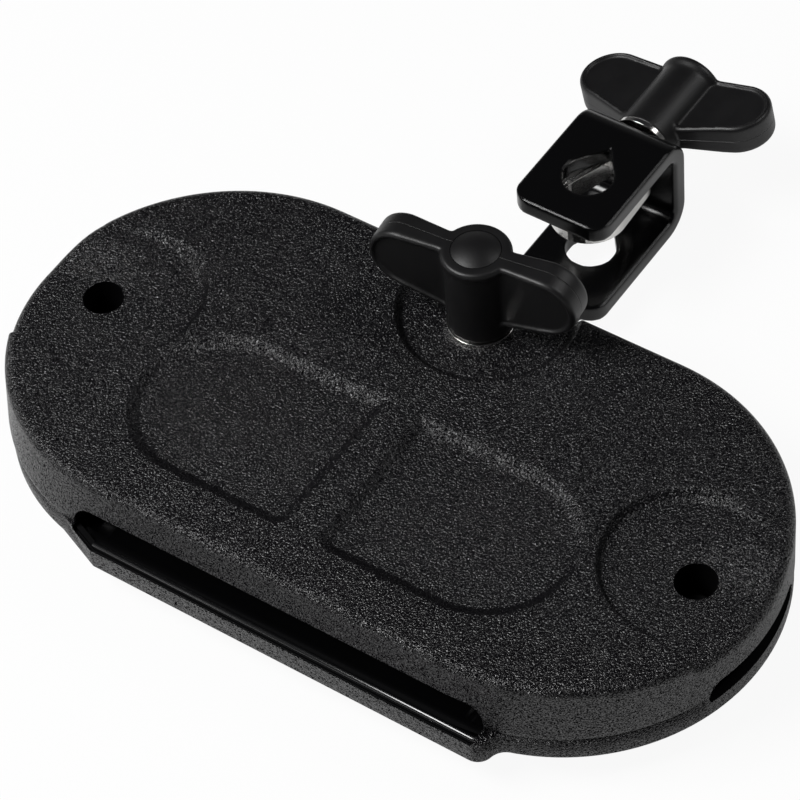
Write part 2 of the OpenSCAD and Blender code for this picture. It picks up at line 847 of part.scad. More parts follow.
// Steel insert with two bands and the wing nut's thread
module nut_insert() {
    difference() {
        cylinder(h = insert_l, r = insert_r);
        translate([0, 0, insert_band])
            difference() {
                cylinder(h = insert_l - 2 * insert_band, r = insert_r + cut);
                cylinder(h = insert_l - 2 * insert_band, r = insert_r - insert_groove);
            }
        translate([0, 0, -cut]) cylinder(h = insert_l + 2 * cut, r = bolt_r + thread_clearance);
    }
}

// Domed cap with its plug
module nut_cap() {
    dome_r = (pow(cap_r, 2) + pow(cap_rise, 2)) / (2 * cap_rise);
    translate([0, 0, hub_l]) {
        translate([0, 0, -cap_plug]) cylinder(h = cap_plug, r = cap_r);
        intersection() {
            translate([0, 0, cap_rise - dome_r]) sphere(r = dome_r);
            translate([0, 0, -cap_plug / 2]) cylinder(h = cap_plug, r = cap_r);
        }
    }
}

module at_block_nut() {
    translate([0, -bolt_reach, block_nut_z]) rotate([0, 0, block_nut_turn]) children();
}

module at_clamp_nut() {
    translate([0, clamp_nut_y, eye_z])
        rotate([-90, 0, 0]) rotate([0, 0, -clamp_nut_turn]) children();
}

module block_nut_body() {
    color([0.09, 0.09, 0.1]) at_block_nut() nut_body();
}

module block_nut_insert() {
    color([0.7, 0.7, 0.7]) at_block_nut() nut_insert();
}

module block_nut_cap() {
    color([0.12, 0.12, 0.13]) at_block_nut() nut_cap();
}

module clamp_nut_body() {
    color([0.09, 0.09, 0.1]) at_clamp_nut() nut_body();
}

module clamp_nut_insert() {
    color([0.7, 0.7, 0.7]) at_clamp_nut() nut_insert();
}

module clamp_nut_cap() {
    color([0.12, 0.12, 0.13]) at_clamp_nut() nut_cap();
}

top_shell();
bottom_shell();
shell_screws();
bracket();
mount_bolt();
mount_washer();
block_nut_body();
block_nut_insert();
block_nut_cap();
eye_bolt();
clamp_washer();
clamp_nut_body();
clamp_nut_insert();
clamp_nut_cap();
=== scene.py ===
import bmesh
import bpy
import math
from mathutils import Matrix, Vector


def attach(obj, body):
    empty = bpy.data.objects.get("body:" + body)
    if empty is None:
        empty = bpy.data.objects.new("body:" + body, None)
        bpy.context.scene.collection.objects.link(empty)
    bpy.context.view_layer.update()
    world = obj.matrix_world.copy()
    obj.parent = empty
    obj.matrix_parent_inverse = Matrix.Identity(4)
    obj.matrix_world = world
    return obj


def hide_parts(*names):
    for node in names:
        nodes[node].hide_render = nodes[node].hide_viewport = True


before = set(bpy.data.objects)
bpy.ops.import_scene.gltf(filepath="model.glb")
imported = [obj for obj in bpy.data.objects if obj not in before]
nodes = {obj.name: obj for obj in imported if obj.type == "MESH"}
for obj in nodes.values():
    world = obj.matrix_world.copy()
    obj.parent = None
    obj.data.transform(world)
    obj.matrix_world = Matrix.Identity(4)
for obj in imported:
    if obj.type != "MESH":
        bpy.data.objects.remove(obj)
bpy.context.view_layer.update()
print("frame loaded:", len(nodes), "nodes")

# pieces are modelled in millimetres and brought to metres when they are placed
toMetres = Matrix.Scale(0.001, 4)


# camera, floor and light

cameraView = {
    "location": (0.32677, -0.48678, 0.63089),
    "turn": (40.1233, 3.8943, 34.0326),
    "lens": 164.745,
    "sensor": 36.0,
    "clip": (0.01, 50),
}


def placeCamera(view):
    lens = bpy.data.cameras.new("productCamera")
    lens.lens = view["lens"]
    lens.sensor_width = view["sensor"]
    lens.clip_start, lens.clip_end = view["clip"]
    camera = bpy.data.objects.new("productCamera", lens)
    bpy.context.collection.objects.link(camera)
    camera.location = view["location"]
    camera.rotation_euler = [math.radians(angle) for angle in view["turn"]]
    bpy.context.scene.camera = camera


placeCamera(cameraView)

studio = {
    "floorHeight": -0.0196,
    "floorSize": 5.0,
    "floorColour": (0.86, 0.86, 0.86, 1),
    "floorGlow": 0.93,
    "mirroredGlow": 0.30,
    "horizon": (0.10, 0.10, 0.10, 1),
    "ceiling": (0.022, 0.022, 0.024, 1),
    "horizonEnd": 0.12,
    "ceilingStart": 0.62,
    "lampTarget": (0, -0.06, 0),
}

lamps = {
    "keySoftbox": {"direction": (-0.40, -0.42, 0.82), "distance": 1.1, "size": (0.60, 0.42), "power": 12.0},
    "sideSoftbox": {"direction": (0.47, 0.49, 0.74), "distance": 1.2, "size": (0.45, 0.45), "power": 2.4},
}


def addNode(tree, kind, sockets=None, **settings):
    node = tree.nodes.new(kind)
    for key, value in settings.items():
        setattr(node, key, value)
    for key, value in (sockets or {}).items():
        if isinstance(value, bpy.types.NodeSocket):
            tree.links.new(value, node.inputs[key])
        else:
            node.inputs[key].default_value = value
    return node


def buildFloor(look):
    bm = bmesh.new()
    bmesh.ops.create_grid(bm, x_segments=2, y_segments=2, size=look["floorSize"] / 2)
    bmesh.ops.translate(bm, verts=bm.verts, vec=(0, 0, look["floorHeight"]))
    mesh = bpy.data.meshes.new("studioFloor")
    bm.to_mesh(mesh)
    bm.free()
    floor = bpy.data.objects.new("studioFloor", mesh)
    bpy.context.collection.objects.link(floor)
    material = bpy.data.materials.new("floorWhite")
    material.use_nodes = True
    tree = material.node_tree
    tree.nodes.clear()
    diffuse = addNode(tree, "ShaderNodeBsdfDiffuse", {"Color": look["floorColour"]})
    glow = addNode(tree, "ShaderNodeEmission", {"Color": (1, 1, 1, 1), "Strength": 1.0})
    rays = addNode(tree, "ShaderNodeLightPath")
    seen = addNode(tree, "ShaderNodeMath", {0: rays.outputs["Is Camera Ray"], 1: look["floorGlow"]},
                   operation="MULTIPLY")
    mirrored = addNode(tree, "ShaderNodeMath", {0: rays.outputs["Is Glossy Ray"], 1: look["mirroredGlow"]},
                       operation="MULTIPLY")
    share = addNode(tree, "ShaderNodeMath", {0: seen.outputs[0], 1: mirrored.outputs[0]}, operation="MAXIMUM")
    mix = addNode(tree, "ShaderNodeMixShader", {0: share.outputs[0], 1: diffuse.outputs[0], 2: glow.outputs[0]})
    addNode(tree, "ShaderNodeOutputMaterial", {"Surface": mix.outputs[0]})
    mesh.materials.append(material)


def buildWorld(look):
    world = bpy.data.worlds.new("studioWorld")
    world.use_nodes = True
    bpy.context.scene.world = world
    tree = world.node_tree
    tree.nodes.clear()
    place = addNode(tree, "ShaderNodeTexCoord")
    height = addNode(tree, "ShaderNodeSeparateXYZ", {0: place.outputs["Generated"]})
    climb = addNode(tree, "ShaderNodeMapRange", {"Value": height.outputs["Z"], "From Min": look["horizonEnd"],
                                                 "From Max": look["ceilingStart"]}, interpolation_type="SMOOTHSTEP")
    sky = addNode(tree, "ShaderNodeMix", {"Factor": climb.outputs[0]}, data_type="RGBA")
    sky.inputs[6].default_value = look["horizon"]
    sky.inputs[7].default_value = look["ceiling"]
    rays = addNode(tree, "ShaderNodeLightPath")
    studioLight = addNode(tree, "ShaderNodeBackground", {"Color": sky.outputs[2]})
    backdrop = addNode(tree, "ShaderNodeBackground", {"Color": (1, 1, 1, 1)})
    mix = addNode(tree, "ShaderNodeMixShader", {0: rays.outputs["Is Camera Ray"], 1: studioLight.outputs[0],
                                                2: backdrop.outputs[0]})
    addNode(tree, "ShaderNodeOutputWorld", {"Surface": mix.outputs[0]})


def placeLamp(name, lamp):
    light = bpy.data.lights.new(name, "AREA")
    light.shape = "RECTANGLE"
    light.size, light.size_y = lamp["size"]
    light.energy = lamp["power"]
    holder = bpy.data.objects.new(name, light)
    bpy.context.collection.objects.link(holder)
    away = Vector(lamp["direction"]).normalized()
    holder.location = Vector(studio["lampTarget"]) + away * lamp["distance"]
    holder.rotation_mode = "QUATERNION"
    holder.rotation_quaternion = (-away).to_track_quat("-Z", "Y")


bpy.context.scene.view_settings.view_transform = "Standard"
buildFloor(studio)
buildWorld(studio)
for lampName, lamp in lamps.items():
    placeLamp(lampName, lamp)
print("studio ready")


# materials

def startMaterial(name, finish):
    material = bpy.data.materials.new(name)
    material.use_nodes = True
    tree = material.node_tree
    shader = tree.nodes["Principled BSDF"]
    for socket, value in finish.items():
        shader.inputs[socket].default_value = value
    return material, tree, shader


def mixColours(tree, factor, first, second):
    mix = addNode(tree, "ShaderNodeMix", {"Factor": factor}, data_type="RGBA")
    mix.inputs[6].default_value = first
    mix.inputs[7].default_value = second
    return mix.outputs[2]


def spread(tree, value, low, high):
    return addNode(tree, "ShaderNodeMapRange", {"Value": value, "To Min": low, "To Max": high}).outputs[0]


# struck block: black plastic with a moulded pebble grain
blockFinish = {
    # the lighter colour shows in random patches of tone and, at the specks, as painted glints on the pebbles
    "colours": ((0.0014, 0.0012, 0.0017, 1), (0.0060, 0.0056, 0.0066, 1)),
    "pebbleScale": 1950,
    "fineScale": 2800,
    "patchScale": 60,
    "pebbleSoftness": 0.4,
    "pebbleShare": -0.8,
    "patchShare": 0.35,
    "glintSpeckRange": (0.35, 0.7),
    "roughness": (0.22, 0.31),
    "shine": (0.0, 1.0),
    "bumpDistance": 0.00026,
    "bumpStrength": 1.0,
    "edgeRadius": 0.00022,
}


def grainedPlastic(look):
    material, tree, shader = startMaterial("grainedPlastic", {"Metallic": 0, "IOR": 1.5})
    place = addNode(tree, "ShaderNodeTexCoord").outputs["Object"]
    pebble = addNode(tree, "ShaderNodeTexVoronoi", {"Vector": place, "Scale": look["pebbleScale"],
                                                    "Smoothness": look["pebbleSoftness"]}, feature="SMOOTH_F1")
    fine = addNode(tree, "ShaderNodeTexNoise", {"Vector": place, "Scale": look["fineScale"], "Detail": 1.0})
    patch = addNode(tree, "ShaderNodeTexNoise", {"Vector": place, "Scale": look["patchScale"], "Detail": 3.0})
    grain = addNode(tree, "ShaderNodeMath", {0: pebble.outputs["Distance"], 1: look["pebbleShare"],
                                             2: fine.outputs["Fac"]}, operation="MULTIPLY_ADD").outputs[0]
    # specks: painted glints in the base colour, which also raise the specular level
    lowGlintSpeck, highGlintSpeck = look["glintSpeckRange"]
    paintedGlintSpeck = addNode(tree, "ShaderNodeMapRange", {"Value": fine.outputs["Fac"], "From Min": lowGlintSpeck,
                                                 "From Max": highGlintSpeck})
    # base colour: random patches of tone plus painted glints at the specks
    toneAndPaintedGlint = addNode(tree, "ShaderNodeMath", {0: patch.outputs["Fac"], 1: look["patchShare"], 2: paintedGlintSpeck.outputs[0]},
                    operation="MULTIPLY_ADD")
    tree.links.new(mixColours(tree, toneAndPaintedGlint.outputs[0], *look["colours"]), shader.inputs["Base Color"])
    tree.links.new(spread(tree, grain, *look["roughness"]), shader.inputs["Roughness"])
    tree.links.new(spread(tree, paintedGlintSpeck.outputs[0], *look["shine"]), shader.inputs["Specular IOR Level"])
    edge = addNode(tree, "ShaderNodeBevel", {"Radius": look["edgeRadius"]}, samples=4)
    bump = addNode(tree, "ShaderNodeBump", {"Strength": look["bumpStrength"], "Distance": look["bumpDistance"],
                                            "Height": grain, "Normal": edge.outputs[0]})
    tree.links.new(bump.outputs[0], shader.inputs["Normal"])
    return material


# smooth plastic: dull inside the shells, where its darker colour is painted shade in the groove, the chamber and the
# end slots; bright on the front lip's bead, where the mould is polished
smoothWave = {"scale": 90, "detail": 2.0, "strength": 0.15, "distance": 0.0002}

smoothFinishes = {
    "insidePaintedShadePlastic": {"Base Color": (0.0015, 0.0015, 0.0018, 1), "Roughness": 0.5, "Specular IOR Level": 0.12},
    "beadPlastic": {"Base Color": (0.004, 0.004, 0.0045, 1), "Roughness": 0.24, "IOR": 1.8},
}


def smoothPlastic(name, finish):
    material, tree, shader = startMaterial(name, finish)
    place = addNode(tree, "ShaderNodeTexCoord").outputs["Object"]
    wave = addNode(tree, "ShaderNodeTexNoise", {"Vector": place, "Scale": smoothWave["scale"],
                                                "Detail": smoothWave["detail"]})
    bump = addNode(tree, "ShaderNodeBump", {"Strength": smoothWave["strength"], "Distance": smoothWave["distance"],
                                            "Height": wave.outputs["Fac"]})
    tree.links.new(bump.outputs[0], shader.inputs["Normal"])
    return material


# strap: gloss black powder coat with a slight orange peel
strapFinish = {
    "colour": (0.0022, 0.0022, 0.0024, 1),
    "peelScale": 420,
    "patchScale": 90,
    "roughness": (0.14, 0.22),
    "bumpDistance": 0.0001,
    "bumpStrength": 0.08,
    "edgeRadius": 0.0007,
}


def glossPaint(look):
    material, tree, shader = startMaterial("glossPaint", {"Base Color": look["colour"], "IOR": 1.5})
    place = addNode(tree, "ShaderNodeTexCoord").outputs["Object"]
    peel = addNode(tree, "ShaderNodeTexNoise", {"Vector": place, "Scale": look["peelScale"], "Detail": 2.0})
    patch = addNode(tree, "ShaderNodeTexNoise", {"Vector": place, "Scale": look["patchScale"], "Detail": 4.0})
    tree.links.new(spread(tree, patch.outputs["Fac"], *look["roughness"]), shader.inputs["Roughness"])
    edge = addNode(tree, "ShaderNodeBevel", {"Radius": look["edgeRadius"]}, samples=4)
    bump = addNode(tree, "ShaderNodeBump", {"Strength": look["bumpStrength"], "Distance": look["bumpDistance"],
                                            "Height": peel.outputs["Fac"], "Normal": edge.outputs[0]})
    tree.links.new(bump.outputs[0], shader.inputs["Normal"])
    return material


# wing nuts: satin nylon, with the mould's parting line along the middle of the wings
nutFinish = {
    "colours": ((0.0026, 0.0024, 0.0028, 1), (0.0052, 0.0050, 0.0054, 1)),
    "fineScale": 3200,
    "patchScale": 160,
    "roughness": (0.38, 0.50),
    "bumpDistance": 0.00004,
    "bumpStrength": 0.35,
    "lineWidth": 0.00014,
    "lineDepth": 0.00012,
}


def satinPlastic(name, look, lineAt=None, lineAcross=None):
    material, tree, shader = startMaterial(name, {"IOR": 1.5})
    place = addNode(tree, "ShaderNodeTexCoord").outputs["Object"]
    fine = addNode(tree, "ShaderNodeTexNoise", {"Vector": place, "Scale": look["fineScale"], "Detail": 2.0})
    patch = addNode(tree, "ShaderNodeTexNoise", {"Vector": place, "Scale": look["patchScale"], "Detail": 4.0})
    tree.links.new(mixColours(tree, patch.outputs["Fac"], *look["colours"]), shader.inputs["Base Color"])
    tree.links.new(spread(tree, patch.outputs["Fac"], *look["roughness"]), shader.inputs["Roughness"])
    bump = addNode(tree, "ShaderNodeBump", {"Strength": look["bumpStrength"], "Distance": look["bumpDistance"],
                                            "Height": fine.outputs["Fac"]})
    if lineAt is not None:
        offset = addNode(tree, "ShaderNodeVectorMath", {0: place, 1: lineAt}, operation="SUBTRACT")
        across = addNode(tree, "ShaderNodeVectorMath", {0: offset.outputs[0], 1: lineAcross},
                         operation="DOT_PRODUCT")
        away = addNode(tree, "ShaderNodeMath", {0: across.outputs["Value"]}, operation="ABSOLUTE")
        groove = addNode(tree, "ShaderNodeMapRange", {"Value": away.outputs[0], "From Min": 0.0,
                                                      "From Max": look["lineWidth"]},
                         interpolation_type="SMOOTHSTEP")
        bump = addNode(tree, "ShaderNodeBump", {"Strength": 1.0, "Distance": look["lineDepth"],
                                                "Height": groove.outputs[0], "Normal": bump.outputs[0]})
    tree.links.new(bump.outputs[0], shader.inputs["Normal"])
    return material


# bare metals: turned or plated, with fine scratches
metalGrain = {"patchScale": 300, "edgeRadius": 0.0003, "depth": 0.00003}

metalFinishes = {
    "brightChrome": {"colour": (0.78, 0.77, 0.75, 1), "roughness": (0.08, 0.2), "grainScale": 1500,
                     "strength": 0.05},
    "zincSteel": {"colour": (0.52, 0.51, 0.50, 1), "roughness": (0.3, 0.45), "grainScale": 2500, "strength": 0.2},
    "blackOxide": {"colour": (0.045, 0.045, 0.047, 1), "roughness": (0.35, 0.5), "grainScale": 2500,
                   "strength": 0.2},
}


def bareMetal(name, look):
    material, tree, shader = startMaterial(name, {"Base Color": look["colour"], "Metallic": 1.0})
    place = addNode(tree, "ShaderNodeTexCoord").outputs["Object"]
    grain = addNode(tree, "ShaderNodeTexNoise", {"Vector": place, "Scale": look["grainScale"], "Detail": 3.0})
    patch = addNode(tree, "ShaderNodeTexNoise", {"Vector": place, "Scale": metalGrain["patchScale"],
                                                 "Detail": 3.0})
    tree.links.new(spread(tree, patch.outputs["Fac"], *look["roughness"]), shader.inputs["Roughness"])
    edge = addNode(tree, "ShaderNodeBevel", {"Radius": metalGrain["edgeRadius"]}, samples=4)
    bump = addNode(tree, "ShaderNodeBump", {"Strength": look["strength"], "Distance": metalGrain["depth"],
                                            "Height": grain.outputs["Fac"], "Normal": edge.outputs[0]})
    tree.links.new(bump.outputs[0], shader.inputs["Normal"])
    return material


grained = grainedPlastic(blockFinish)
smooth = [smoothPlastic(name, finish) for name, finish in smoothFinishes.items()]
strapPaint = glossPaint(strapFinish)
capPlastic = satinPlastic("capPlastic", nutFinish)
metals = {name: bareMetal(name, look) for name, look in metalFinishes.items()}

nodeMaterials = {
    "top_shell": grained, "bottom_shell": grained, "bracket": strapPaint,
    "shell_screws": metals["blackOxide"],
    "mount_bolt": metals["brightChrome"], "mount_washer": metals["brightChrome"],
    "eye_bolt": metals["brightChrome"], "clamp_washer": metals["brightChrome"],
    "block_nut_insert": metals["zincSteel"], "clamp_nut_insert": metals["zincSteel"],
    "block_nut_body": capPlastic, "clamp_nut_body": capPlastic,
    "block_nut_cap": capPlastic, "clamp_nut_cap": capPlastic,
}
for nodeName, material in nodeMaterials.items():
    nodes[nodeName].data.materials.clear()
    nodes[nodeName].data.materials.append(material)
print("materials ready")


# tools for new pieces

# cutters reach this far past what they cut, in millimetres
overrun = 1

# vertices closer than these, in millimetres, are merged
mergeFine, mergeCopy, mergeSkin = 0.0001, 0.0005, 0.002


def toObject(name, bm):
    mesh = bpy.data.meshes.new(name)
    bmesh.ops.recalc_face_normals(bm, faces=bm.faces)
    bm.to_mesh(mesh)
    bm.free()
    piece = bpy.data.objects.new(name, mesh)
    bpy.context.collection.objects.link(piece)
    return piece


def applyModifiers(piece):
    graph = bpy.context.evaluated_depsgraph_get()
    mesh = bpy.data.meshes.new_from_object(piece.evaluated_get(graph))
    piece.modifiers.clear()
    old = piece.data
    piece.data = mesh
    mesh.name = piece.name
    bpy.data.meshes.remove(old)


def combine(piece, others, operation):
    for other in others:
        cut = piece.modifiers.new(other.name, "BOOLEAN")
        cut.operation = operation
        cut.solver = "MANIFOLD"
        cut.object = other
    applyModifiers(piece)
    for other in others:
        bpy.data.objects.remove(other)


def finishPiece(piece, place, materials, body, replaced, sharpAngle, choose=None):
    # choose gives a face's material number from its centre, in millimetres in the piece's own frame
    piece.data.materials.clear()
    for material in materials:
        piece.data.materials.append(material)
    for face in piece.data.polygons:
        face.use_smooth = True
        face.material_index = choose(face.center) if choose else 0
    piece.data.transform(place @ toMetres)
    piece.data.set_sharp_from_angle(angle=math.radians(sharpAngle))
    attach(piece, body)
    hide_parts(replaced)
    print(piece.name, "has", len(piece.data.polygons), "faces")


def softenSkin(piece, shape):
    # even skin with its edges worn soft
    skin = piece.modifiers.new("skin", "REMESH")
    skin.mode = "VOXEL"
    skin.voxel_size = shape["voxel"]
    soft = piece.modifiers.new("soft", "SMOOTH")
    soft.factor = shape["softFactor"]
    soft.iterations = shape["softening"]
    applyModifiers(piece)


def turnedSolid(profile, steps):
    # closed lathe shape about Z from (radius, height) points that start and end on the axis
    bm = bmesh.new()
    verts = [bm.verts.new((radius, 0, height)) for radius, height in profile]
    edges = [bm.edges.new(pair) for pair in zip(verts, verts[1:])]
    bmesh.ops.spin(bm, geom=verts + edges, cent=(0, 0, 0), axis=(0, 0, 1), angle=math.tau, steps=steps,
                   use_merge=True, use_duplicate=False)
    bmesh.ops.remove_doubles(bm, verts=bm.verts, dist=mergeFine)
    return bm


def prism(outline, low, high, place=Matrix()):
    # closed upright prism on a plan of (x, y) points
    bm = bmesh.new()
    foot = bm.faces.new([bm.verts.new((x, y, low)) for x, y in outline])
    grown = bmesh.ops.extrude_face_region(bm, geom=[foot], use_keep_orig=True)["geom"]
    bmesh.ops.translate(bm, verts=[item for item in grown if isinstance(item, bmesh.types.BMVert)],
                        vec=(0, 0, high - low))
    bm.transform(place)
    return bm


def arc(centre, radius, start, end, steps):
    # points on an arc from one angle to another, in degrees
    angles = [math.radians(start + (end - start) * step / steps) for step in range(steps + 1)]
    return [(centre[0] + radius * math.cos(angle), centre[1] + radius * math.sin(angle)) for angle in angles]


def disc(centre, radius, steps=64):
    return arc(centre, radius, 0, 360 - 360 / steps, steps - 1)


def tube(name, points, radius):
    # closed round bar along points, made from a curve
    curve = bpy.data.curves.new(name, "CURVE")
    curve.dimensions = "3D"
    curve.bevel_depth = radius
    curve.bevel_resolution = 6
    curve.use_fill_caps = True
    line = curve.splines.new("POLY")
    line.points.add(len(points) - 1)
    for spot, point in zip(line.points, points):
        spot.co = (*point, 1)
    holder = bpy.data.objects.new(name, curve)
    bpy.context.collection.objects.link(holder)
    mesh = bpy.data.meshes.new_from_object(holder.evaluated_get(bpy.context.evaluated_depsgraph_get()))
    bpy.data.objects.remove(holder)
    bm = bmesh.new()
    bm.from_mesh(mesh)
    bpy.data.meshes.remove(mesh)
    bmesh.ops.remove_doubles(bm, verts=bm.verts, dist=mergeFine)
    return toObject(name, bm)


def copyOfNode(name, nodeName, place):
    # merged copy of a CAD node, in millimetres in the frame given by place
    bm = bmesh.new()
    bm.from_mesh(nodes[nodeName].data)
    bm.transform((place @ toMetres).inverted())
    bmesh.ops.remove_doubles(bm, verts=bm.verts, dist=mergeCopy)
    return toObject(name, bm)


# block's two shells

blockPlace = Matrix.Translation((0, -0.0835, 0.0094))

shell = {
    "straight": 46.1,
    "radius": 50.0,
    "edge": 2.4,
    "frontDraft": 0.046,
    "draftEnd": -13.0,
    "seam": -14.0,
    "seamChamfer": 0.12,
    "flatSteps": 46,
    "edgeSteps": 9,
    "wallLevels": (-3.4, -4.6, -5.8, -7.2, -8.8, -10.6, -12.4, -13.0),
    "endSteps": 150,
    "straightSteps": 92,
    "wallFadeStart": -2.4,
    "wallFadeEnd": -10.0,
    "fineEdge": 0.4,
    "innerRadius": 46.0,
    "plate": -5.0,
    "wellX": 79.4,
    "wellRadius": 4.8,
    "wellDepth": -13.2,
    "webHole": 2.15,
    "tubeRadius": 7.0,
    "bolt": (0.0, 37.8),
    "boltHole": 4.3,
    "bossRadius": 12.0,
    "stadiumSteps": 72,
    "wellSteps": 96,
    "sharpAngle": 35,
}

# each slope has a convex shoulder, a straight run and a hollow foot
recesses = {
    "pad": {"depth": 1.5, "runs": (0.4, 2.1, 0.6), "inner": 3.9, "outer": 57.0, "middle": -14.0, "half": 21.2,
            "frontCorner": 4.0, "backCorner": 0.8, "fineReach": 3.4},
    "end": {"depth": 2.2, "runs": (0.8, 0.4, 0.4), "lessRun": 0.2, "backReach": 2.2, "backHollow": 1.5,
            "centre": (76.4, 1.5), "radius": 19.7, "lean": -8.5, "fade": 0.92, "fadeX": (66, 88), "fadeY": (0, 16),
            "fineReach": 4.8},
    "nut": {"depth": 2.0, "runs": (0.5, 1.1, 0.5), "centre": (0.0, 41.0), "radius": 21.7, "fineReach": 2.6},
}
fineMargin = 0.6


def easedDepth(inside, runs, stretch=1):
    # share of the depth at a distance inside the rim
    convex, straight, hollow = (run * stretch for run in runs)
    run = convex + straight + hollow
    level = convex / 2 + straight + hollow / 2
    if inside <= 0:
        return 0
    if inside >= run:
        return 1
    if inside < convex:
        return inside ** 2 / (2 * convex * level)
    if inside < convex + straight:
        return (inside - convex / 2) / level
    return 1 - (run - inside) ** 2 / (2 * hollow * level)


def smoothStep(low, high, value):
    share = min(1, max(0, (value - low) / (high - low)))
    return share * share * (3 - 2 * share)


def insidePad(x, y):
    pad = recesses["pad"]
    across = y - pad["middle"]
    beyond = abs(x) - (pad["outer"] - pad["half"])
    if beyond > 0:
        return pad["half"] - math.hypot(beyond, across)
    corner = pad["backCorner"] if across > 0 else pad["frontCorner"]
    short = pad["inner"] + corner - abs(x)
    wide = abs(across) - (pad["half"] - corner)
    return corner - math.hypot(max(short, 0), max(wide, 0)) - min(max(short, wide), 0)


def backShare(x, y):
    # 1 on the far inner side of an end recess, 0 on its near and outer sides
    away = abs(x) - recesses["end"]["centre"][0]
    up = y - recesses["end"]["centre"][1]
    return max(0, up - away) ** 2 / (2 * max(away ** 2 + up ** 2, 0.001))


def insideEnd(x, y):
    # a round inner end, and two sides that run out to the block's end, leaning forwards
    end = recesses["end"]
    lean = math.radians(end["lean"])
    away = abs(x) - end["centre"][0]
    up = y - end["centre"][1]
    along = away * math.cos(lean) + up * math.sin(lean)
    across = up * math.cos(lean) - away * math.sin(lean)
    radius = end["radius"] + end["backReach"] * backShare(x, y)
    return radius - (math.hypot(away, up) if along < 0 else abs(across))


def insideNut(x, y):
    nut = recesses["nut"]
    return nut["radius"] - math.hypot(x - nut["centre"][0], y - nut["centre"][1])


def recessDepth(x, y):
    pad, end, nut = recesses["pad"], recesses["end"], recesses["nut"]
    fade = 1 - end["fade"] * smoothStep(*end["fadeX"], abs(x)) * smoothStep(*end["fadeY"], y)
    stretch = 1 + end["lessRun"] * min(1, max(-1, (y - end["centre"][1]) / end["radius"]))
    convex, straight, hollow = end["runs"]
    endRuns = (convex, straight, hollow + end["backHollow"] * backShare(x, y))
    return (pad["depth"] * easedDepth(insidePad(x, y), pad["runs"])
            + end["depth"] * fade * easedDepth(insideEnd(x, y), endRuns, stretch)
            + nut["depth"] * easedDepth(insideNut(x, y), nut["runs"]))


def nearSlope(x, y):
    # where the skin needs finer faces
    kinds = (("pad", insidePad), ("end", insideEnd), ("nut", insideNut))
    return any(-fineMargin < inside(x, y) < recesses[kind]["fineReach"] for kind, inside in kinds)


def outerSkin(shape):
    # closed outside of the upper shell: a half section swept round both ends and along both sides
    flat = shape["radius"] - shape["edge"]
    section = [(flat * step / shape["flatSteps"], 0) for step in range(shape["flatSteps"] + 1)]
    section += [(x, z) for x, z in arc((flat, -shape["edge"]), shape["edge"], 90, 0, shape["edgeSteps"])[1:]]
    section += [(shape["radius"], level) for level in shape["wallLevels"]]
    section += [(shape["radius"], shape["seam"] + shape["seamChamfer"]),
                (shape["radius"] - shape["seamChamfer"], shape["seam"])]
    bm = bmesh.new()
    verts = [bm.verts.new((shape["straight"], -away, height)) for away, height in section]
    geom = verts + [bm.edges.new(pair) for pair in zip(verts, verts[1:])]
    for side in (1, -1):
        geom = bmesh.ops.spin(bm, geom=geom, cent=(side * shape["straight"], 0, 0), axis=(0, 0, 1), angle=math.pi,
                              steps=shape["endSteps"], use_duplicate=False)["geom_last"]
        stride = -side * 2 * shape["straight"] / shape["straightSteps"]
        geom = bmesh.ops.spin(bm, geom=geom, cent=(0, 0, 0), axis=(0, 0, 1), dvec=(stride, 0, 0), angle=0,
                              steps=shape["straightSteps"], use_duplicate=False)["geom_last"]
    bmesh.ops.remove_doubles(bm, verts=bm.verts, dist=mergeSkin)
    bmesh.ops.holes_fill(bm, edges=[edge for edge in bm.edges if edge.is_boundary], sides=0)
    for vert in bm.verts:
        climb = min(1, max(0, (vert.co.z - shape["draftEnd"]) / (-shape["edge"] - shape["draftEnd"])))
        if vert.co.y < 0:
            vert.co.y *= 1 - shape["frontDraft"] * climb
    for _ in range(2):
        chosen = []
        for edge in bm.edges:
            middle = (edge.verts[0].co + edge.verts[1].co) / 2
            if middle.z > -shape["edge"] and edge.calc_length() > shape["fineEdge"] and nearSlope(middle.x, middle.y):
                chosen.append(edge)
        bmesh.ops.subdivide_edges(bm, edges=chosen, cuts=1, use_grid_fill=True)
    for vert in bm.verts:
        share = (vert.co.z - shape["wallFadeEnd"]) / (shape["wallFadeStart"] - shape["wallFadeEnd"])
        if share > 0:
            vert.co.z -= min(1, share) * recessDepth(vert.co.x, vert.co.y)
    return bm


def stadium(radius):
    straight, steps = shell["straight"], shell["stadiumSteps"]
    return arc((straight, 0), radius, -90, 90, steps) + arc((-straight, 0), radius, 90, 270, steps)


def fromSpine(centre):
    # distance from the block's long middle line
    return math.hypot(max(0, abs(centre.x) - shell["straight"]), centre.y)


frontSlot = {"left": -52.0, "right": 56.5, "bottom": -15.0, "top": -8.0, "corner": 5.0, "cornerSteps": 12,
             "inner": 42.0, "outer": 56.0}
endSlot = {"reach": 13.36, "half": 3.85, "halfSteps": 24, "middle": -14.35, "inner": 87.0, "outer": 97.5,
           "facesFrom": 84.0, "skin": 49.6}

# turns that stand a plan up against the front and against the right end
upright = Matrix.Rotation(math.pi / 2, 4, "X")
towardsEnd = Matrix(((0, 0, 1, 0), (1, 0, 0, 0), (0, 1, 0, 0), (0, 0, 0, 1)))


